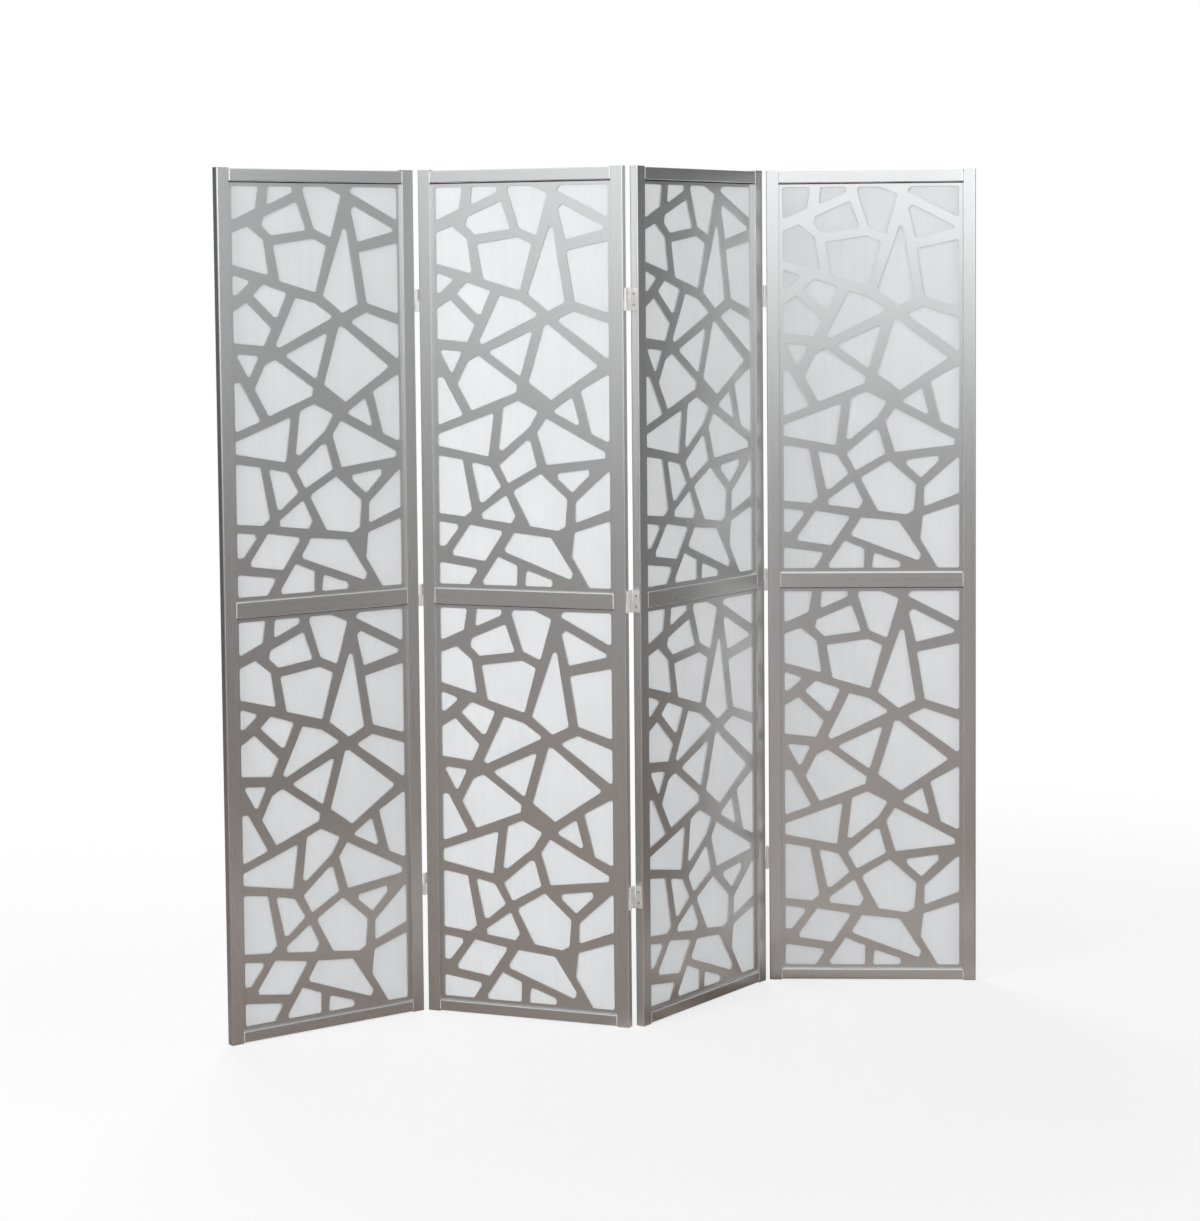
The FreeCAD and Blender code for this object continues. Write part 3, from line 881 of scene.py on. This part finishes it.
    def add_painted_glints(self, shape: bmesh.types.BMesh, rail: Rail) -> None:
        """Adds a pale strip in the notch between each end of the rail and its stile: a painted highlight
        for the bright line where the end edge catches the light.

        Args:
            shape: the rail.
            rail: which rail it is.
        """
        size = (self.glint_width - self.glint_clear, self.glint_back - self.glint_front,
                rail.face - 2 * self.rail_round)
        deep = (self.glint_front + self.glint_back) / 2
        for side in (-1.0, 1.0):
            out = side * (self.rail_length - self.glint_width - self.glint_clear) / 2
            self.add_block(shape, size, (out, deep, rail.face / 2), Coat.PAINTED_GLINT)

    def rail_base(self, rail: Rail) -> float:
        """The height of a rail above the floor.

        Args:
            rail: the rail.

        Returns:
            The height of its lower side.
        """
        top = CAD_BOX[1][2] - self.stile_overhang - Rail.TOP.face
        bottom = self.stile_overhang
        low_side = bottom + Rail.BOTTOM.face
        opening = (top - low_side - Rail.MID.face) / 2
        return {Rail.TOP: top, Rail.MID: low_side + opening, Rail.BOTTOM: bottom}[rail]

    def make_rail(self, rail: Rail) -> bpy.types.Object:
        """Makes a grooved rail with eased edges and a tongue at each end.

        Args:
            rail: the rail.

        Returns:
            The rail.
        """
        node = f"{self.name}_{rail.label}_rail"
        shape = self.rail_bar(rail)
        self.add_tongues(shape, rail)
        if rail is not Rail.BOTTOM:
            # A near-black strip: painted shadow under the rail.
            self.add_painted_shadow(shape)
        # Pale strips: painted highlights at the rail's ends.
        self.add_painted_glints(shape, rail)
        bmesh.ops.recalc_face_normals(shape, faces=shape.faces)
        line = Vector(FACE_ORDER)
        shape.faces.sort(key=lambda face: face.calc_center_median().dot(line))
        middle = self.middle(node)
        foot = Matrix.Translation((middle.x, middle.y, self.rail_base(rail)))
        centred = Matrix.Translation((0.0, -self.rail_depth / 2, 0.0))
        shape.transform(foot @ Matrix.Rotation(self.turn, 4, "Z") @ centred)
        mesh = bpy.data.meshes.new(f"{self.name}_{rail.label}_bar")
        shape.to_mesh(mesh)
        shape.free()
        for coat in (self.finishes.rails[self.number - 1], self.finishes.seam, self.finishes.glint_strip):
            mesh.materials.append(coat)
        piece = new_object(mesh.name, mesh)
        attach(piece, self.name)
        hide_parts(node)
        log.info("%s: %d faces", piece.name, len(mesh.polygons))
        return piece

    def make_board(self, level: Level) -> bpy.types.Object:
        """Makes an openwork board whose cut edges are eased.

        Args:
            level: the opening it fills.

        Returns:
            The board.
        """
        node = f"{self.name}_{level.value}_fretwork"
        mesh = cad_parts[node].data.copy()
        mesh.materials.clear()
        shell = bmesh.new()
        shell.from_mesh(mesh)
        bmesh.ops.remove_doubles(shell, verts=shell.verts, dist=self.board_weld)
        bmesh.ops.dissolve_limit(shell, angle_limit=math.radians(self.board_flat_angle),
                                 verts=shell.verts, edges=shell.edges)
        for face in shell.faces:
            face.smooth = False
        shell.to_mesh(mesh)
        shell.free()
        if "custom_normal" in mesh.attributes:
            mesh.attributes.remove(mesh.attributes["custom_normal"])
        piece = new_object(f"{self.name}_{level.value}_board", mesh)
        mesh.materials.append(self.finishes.board)
        ease = piece.modifiers.new("eased_edges", "BEVEL")
        ease.width = self.board_round
        ease.segments = self.board_round_steps
        ease.limit_method = "ANGLE"
        ease.angle_limit = math.radians(self.board_round_angle)
        bake(piece)
        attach(piece, self.name)
        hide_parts(node)
        log.info("%s: %d faces", piece.name, len(piece.data.polygons))
        return piece

    def make_cloth(self, level: Level, board: bpy.types.Object) -> bpy.types.Object:
        """Makes the cloth behind a board.

        Args:
            level: the opening it fills.
            board: the board that it lies against; not used.

        Returns:
            The cloth.
        """
        node = f"{self.name}_{level.value}_sheet"
        piece = self.cloth_tree.make(
            f"{self.name}_{level.value}_cloth",
            {"Width": self.cloth_width, "Height": self.cloth_height, "Thickness": self.cloth_thickness,
             "Slack": self.cloth_slack, "Turn": self.turn, "Centre": self.middle(node),
             "Seed": float(self.number * len(Level) + (level is Level.UPPER))})
        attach(piece, self.name)
        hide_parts(node)
        log.info("%s: %d faces", piece.name, len(piece.data.polygons))
        return piece

    def build(self) -> None:
        """Dresses the stiles and makes the rails, boards and cloths."""
        self.dress_stiles()
        for rail in Rail:
            self.make_rail(rail)
        for level in Level:
            self.make_cloth(level, self.make_board(level))


@dataclass
class HingeSet:
    """The three two-way hinges between two neighbouring panels."""

    joint: str
    finishes: Finishes

    def build(self) -> None:
        """Finishes the plates, links, pins and screws."""
        for side in Side:
            dress(f"joint_{self.joint}_{side.value}_leaves", self.finishes.plate)
            dress(f"joint_{self.joint}_{side.value}_screws", self.finishes.screw)
        dress(f"joint_{self.joint}_links", self.finishes.plate)
        for place in ("front", "back"):
            dress(f"joint_{self.joint}_{place}_pins", self.finishes.pin)


@dataclass(frozen=True)
class Lamp:
    """A large soft white lamp aimed at the screen, with its power in watts."""

    name: str
    place: tuple[float, float, float]
    aim: tuple[float, float, float]
    size: float
    power: float

    def build(self) -> None:
        """Makes the lamp, which neither the camera nor the paint sees."""
        data = bpy.data.lights.new(self.name, "AREA")
        data.shape = "DISK"
        data.size = self.size
        data.energy = self.power
        thing = new_object(self.name, data)
        thing.location = self.place
        thing.rotation_euler = (Vector(self.aim) - Vector(self.place)).to_track_quat("-Z", "Y").to_euler()
        thing.visible_camera = False
        thing.visible_glossy = False


@dataclass(frozen=True)
class CardTones:
    """The cards' tones in one direction: the low card's colour, and the round card's tone by level.

    Bearings are in degrees from the front, to the right as the front is seen.
    """

    bearing: float
    floor: Colour
    up: tuple[float, float, float, float, float]


@dataclass(frozen=True)
class FloorPatch:
    """A lighter patch of the low card.

    Across runs to the right and away to the front. Each gives where the patch starts, is full, is full
    still and ends.
    """

    tone: Colour
    across: tuple[float, float, float, float]
    away: tuple[float, float, float, float]


@dataclass(frozen=True)
class Studio:
    """Pale floor, white surround, soft lamps and the cards that the paint mirrors."""

    floor_half: float = 30.0
    floor_tone: float = 0.92
    fade_from: float = 0.9
    fade_to: float = 3.0
    fade_share: float = 0.68
    fill_level: float = 0.30
    low_card_half: float = 5.28
    low_card_height: float = 0.0005
    card_radius: float = 4.4
    card_height: float = 5.0
    card_sides: int = 96
    card_strength: float = 3.6
    card_levels: tuple[float, float, float, float, float] = (0.1, 0.55, 1.0, 1.45, 1.95)
    card_tint: Colour = (0.98, 0.995, 1.01)
    cards: tuple[CardTones, ...] = (
        CardTones(-180.0, (0.30, 0.26, 0.24), (0.26, 0.28, 0.36, 0.60, 0.95)),
        CardTones(-150.0, (0.26, 0.22, 0.20), (0.22, 0.24, 0.30, 0.42, 0.60)),
        CardTones(-136.0, (0.10, 0.08, 0.07), (0.03, 0.03, 0.03, 0.03, 0.03)),
        CardTones(-122.0, (0.10, 0.08, 0.07), (0.03, 0.03, 0.03, 0.03, 0.03)),
        CardTones(-100.0, (0.16, 0.12, 0.11), (0.05, 0.05, 0.05, 0.06, 0.07)),
        CardTones(-82.0, (0.23, 0.185, 0.165), (0.26, 0.28, 0.40, 0.66, 1.00)),
        CardTones(-50.0, (0.26, 0.215, 0.19), (0.20, 0.18, 0.26, 0.47, 0.74)),
        CardTones(-40.0, (0.27, 0.22, 0.195), (0.22, 0.22, 0.32, 0.80, 1.20)),
        CardTones(-22.0, (0.24, 0.195, 0.17), (0.26, 0.30, 0.40, 0.90, 1.50)),
        CardTones(-10.0, (0.27, 0.23, 0.21), (0.95, 1.00, 1.25, 1.75, 2.40)),
        CardTones(0.0, (0.38, 0.34, 0.325), (0.18, 0.03, 0.01, 0.50, 1.20)),
        CardTones(12.0, (0.40, 0.35, 0.33), (0.17, 0.05, 0.07, 0.86, 1.48)),
        CardTones(32.0, (0.20, 0.165, 0.14), (0.26, 0.50, 1.12, 2.20, 3.30)),
        CardTones(46.0, (0.12, 0.095, 0.08), (0.09, 0.06, 0.07, 0.20, 0.34)),
        CardTones(61.0, (0.22, 0.185, 0.16), (0.24, 0.27, 0.34, 0.40, 0.36)),
        CardTones(80.0, (0.18, 0.14, 0.12), (0.20, 0.20, 0.22, 0.24, 0.24)),
        CardTones(101.0, (0.11, 0.08, 0.065), (0.14, 0.11, 0.13, 0.14, 0.10)),
        CardTones(124.0, (0.10, 0.08, 0.065), (0.12, 0.10, 0.12, 0.13, 0.10)),
        CardTones(148.0, (0.26, 0.22, 0.20), (0.24, 0.26, 0.32, 0.44, 0.62)),
        CardTones(180.0, (0.30, 0.26, 0.24), (0.26, 0.28, 0.36, 0.60, 0.95)))
    patches: tuple[FloorPatch, ...] = (
        FloorPatch((0.44, 0.395, 0.365), (0.18, 0.26, 0.82, 1.00), (0.06, 0.18, 0.60, 0.90)),
        FloorPatch((0.38, 0.335, 0.31), (0.30, 0.38, 0.86, 0.96), (-0.21, -0.13, 0.0, 0.06)))
    lamps: tuple[Lamp, ...] = (
        Lamp("key_lamp", (-3.2, -2.4, 2.7), (0.0, 0.0, 1.3), 2.4, 82.0),
        Lamp("front_lamp", (-0.9, -3.4, 3.2), (-0.2, 0.0, 1.3), 2.0, 28.0),
        Lamp("fill_lamp", (3.5, -1.4, 2.6), (0.0, 0.0, 1.3), 2.4, 34.5),
        Lamp("back_lamp", (-0.9, 3.3, 2.9), (-0.1, 0.0, 1.0), 2.8, 95.0))

    def background_share(self, wires: Wiring) -> Socket:
        """Tells the rays that see the background from the rest.

        Args:
            wires: the material's or world's wiring.

        Returns:
            One for camera, glossy and transmission rays, and nought for the rest.
        """
        path = wires.add("ShaderNodeLightPath").outputs
        share = wires.maths("MAXIMUM", path["Is Camera Ray"], path["Is Glossy Ray"])
        return wires.maths("MAXIMUM", share, path["Is Transmission Ray"])

    def make_world(self) -> None:
        """White where it is seen, a plain level where it lights."""
        world = bpy.data.worlds.new("studio")
        world.use_nodes = True
        bpy.context.scene.world = world
        wires = Wiring(world.node_tree)
        level = (self.fill_level, self.fill_level, self.fill_level)
        fill = wires.add("ShaderNodeBackground", {"Color": opaque(level), "Strength": 1.0})
        white = wires.add("ShaderNodeBackground", {"Color": opaque((1.0, 1.0, 1.0)), "Strength": 1.0})
        mixed = wires.add("ShaderNodeMixShader", {0: self.background_share(wires), 1: fill.outputs[0],
                                                  2: white.outputs[0]})
        wires.add("ShaderNodeOutputWorld", {0: mixed.outputs[0]})

    def make_flat(self, name: str, half: float, height: float) -> bpy.types.Object:
        """Makes a level square.

        Args:
            name: its name.
            half: half its side.
            height: its height over the floor.

        Returns:
            The square.
        """
        mesh = bpy.data.meshes.new(name)
        corners = [(x * half, y * half, height) for x, y in ((-1, -1), (1, -1), (1, 1), (-1, 1))]
        mesh.from_pydata(corners, [], [(0, 1, 2, 3)])
        thing = new_object(name, mesh)
        return thing

    def make_floor(self) -> None:
        """A pale floor that keeps the screen's shadow and fades to white far away."""
        floor = self.make_flat("studio_floor", self.floor_half, 0.0)
        material, wires = new_material("pale_floor")
        away = wires.add("ShaderNodeVectorMath", {0: wires.here()}, operation="LENGTH").outputs["Value"]
        fade = wires.ramp(away, self.fade_from, self.fade_to, self.fade_share, 1.0, smooth=True)
        share = wires.maths("MULTIPLY", self.background_share(wires), fade)
        tone = (self.floor_tone, self.floor_tone, self.floor_tone)
        paint = wires.add("ShaderNodeBsdfDiffuse", {"Color": opaque(tone)})
        white = wires.add("ShaderNodeEmission", {"Color": opaque((1.0, 1.0, 1.0)), "Strength": 1.0})
        wires.show(wires.add("ShaderNodeMixShader", {0: share, 1: paint.outputs[0], 2: white.outputs[0]}))
        floor.data.materials.append(material)

    def only_mirrored(self, card: bpy.types.Object) -> None:
        """Leaves a card to be seen in the paint and nowhere else.

        Args:
            card: the card.
        """
        card.visible_camera = False
        card.visible_diffuse = False
        card.visible_transmission = False
        card.visible_volume_scatter = False
        card.visible_shadow = False

    def bearing(self, wires: Wiring, place: Socket) -> Socket:
        """The direction of a point seen from the middle, in degrees from the front.

        Args:
            wires: the material's wiring.
            place: the point.

        Returns:
            Its bearing.
        """
        parts = wires.add("ShaderNodeSeparateXYZ", {0: place}).outputs
        angle = wires.maths("ARCTAN2", parts[0], wires.maths("MULTIPLY", parts[1], -1.0))
        return wires.maths("MULTIPLY", angle, 180.0 / math.pi)

    def around(self, wires: Wiring, bearing: Socket, tones: list[Tone]) -> Socket:
        """Blends the cards' tones from each bearing to the next.

        Args:
            wires: the material's wiring.
            bearing: the bearing of the point.
            tones: a colour or socket for each card.

        Returns:
            The tone at the point.
        """
        shown = tones[0]
        for before, card, tone in zip(self.cards, self.cards[1:], tones[1:]):
            share = wires.ramp(bearing, before.bearing, card.bearing, 0.0, 1.0, smooth=True)
            shown = wires.blend(share, shown, tone)
        return shown

    def make_low_card(self) -> None:
        """A card just over the floor, warm and darker than it."""
        low = self.make_flat("low_card", self.low_card_half, self.low_card_height)
        material, wires = new_material("low_card")
        place = wires.here()
        shown = self.around(wires, self.bearing(wires, place), [opaque(card.floor) for card in self.cards])
        parts = wires.add("ShaderNodeSeparateXYZ", {0: place}).outputs
        away = wires.maths("MULTIPLY", parts[1], -1.0)
        for patch in self.patches:
            share = 1.0
            for run, edges in ((parts[0], patch.across), (away, patch.away)):
                begun = wires.ramp(run, edges[0], edges[1], 0.0, 1.0, smooth=True)
                left = wires.ramp(run, edges[2], edges[3], 1.0, 0.0, smooth=True)
                share = wires.maths("MULTIPLY", wires.maths("MULTIPLY", share, begun), left)
            shown = wires.blend(share, shown, opaque(patch.tone))
        wires.show(wires.add("ShaderNodeEmission", {"Color": shown, "Strength": 1.0}))
        low.data.materials.append(material)
        self.only_mirrored(low)

    def make_round_card(self) -> None:
        """A round wall that gives the paint its light and dark sides."""
        shell = bmesh.new()
        bmesh.ops.create_cone(shell, cap_ends=False, segments=self.card_sides, radius1=self.card_radius,
                              radius2=self.card_radius, depth=self.card_height,
                              matrix=Matrix.Translation((0.0, 0.0, self.card_height / 2)))
        mesh = bpy.data.meshes.new("round_card")
        shell.to_mesh(mesh)
        shell.free()
        wall = new_object("round_card", mesh)
        self.only_mirrored(wall)
        material, wires = new_material("round_card")
        place = wires.here()
        height = wires.add("ShaderNodeSeparateXYZ", {0: place}).outputs[2]
        levels = (0.0, *self.card_levels)
        tones = []
        for card in self.cards:
            shown = opaque(card.floor, 1.0 / self.card_strength)
            for low, high, tone in zip(levels, levels[1:], card.up):
                share = wires.ramp(height, low, high, 0.0, 1.0)
                shown = wires.blend(share, shown, opaque(self.card_tint, tone / self.card_strength))
            tones.append(shown)
        shown = self.around(wires, self.bearing(wires, place), tones)
        wires.show(wires.add("ShaderNodeEmission", {"Color": shown, "Strength": self.card_strength}))
        mesh.materials.append(material)

    def build(self) -> None:
        """Makes the whole studio."""
        self.make_world()
        self.make_floor()
        self.make_low_card()
        self.make_round_card()
        for lamp in self.lamps:
            lamp.build()
        log.info("studio: %d lamps", len(self.lamps))


@dataclass(frozen=True)
class Viewpoint:
    """The camera at the photograph's place, with its angles in radians and its lens in pixels."""

    place: tuple[float, float, float] = (-0.24963, -5.62043, 1.57378)
    down: float = 0.06669
    roll: float = -0.00908
    aside: float = -0.04007
    focal_px: float = 2669.32
    middle_px: tuple[float, float] = (600.0, 450.0)
    sensor_mm: float = 36.0
    clip_near: float = 0.05
    clip_far: float = 200.0

    def build(self) -> None:
        """Makes the camera and hands it to the scene."""
        data = bpy.data.cameras.new("photo_camera")
        data.sensor_width = self.sensor_mm
        data.lens = self.focal_px / PHOTO_HEIGHT * self.sensor_mm
        data.shift_x = (PHOTO_WIDTH / 2 - self.middle_px[0]) / PHOTO_HEIGHT
        data.shift_y = (self.middle_px[1] - PHOTO_HEIGHT / 2) / PHOTO_HEIGHT
        data.clip_start = self.clip_near
        data.clip_end = self.clip_far
        camera = new_object("photo_camera", data)
        turned = (Matrix.Rotation(self.aside, 4, "Z") @ Matrix.Rotation(math.pi / 2 - self.down, 4, "X")
                  @ Matrix.Rotation(self.roll, 4, "Z"))
        camera.matrix_world = Matrix.Translation(self.place) @ turned
        bpy.context.scene.camera = camera


def main() -> None:
    """Builds the camera, the studio and the screen, in that order."""
    logging.basicConfig(level=logging.INFO, format="%(message)s", stream=sys.stdout)
    bpy.context.scene.view_settings.view_transform = "Standard"
    Viewpoint().build()
    Studio().build()
    finishes = Finishes()
    cloth_tree = ClothTree(finishes.cloth)
    for number in range(1, len(PANEL_TURNS) + 1):
        Panel(number, finishes, cloth_tree).build()
    for joint in JOINTS:
        HingeSet(joint, finishes).build()


if __name__ == "__main__":
    main()
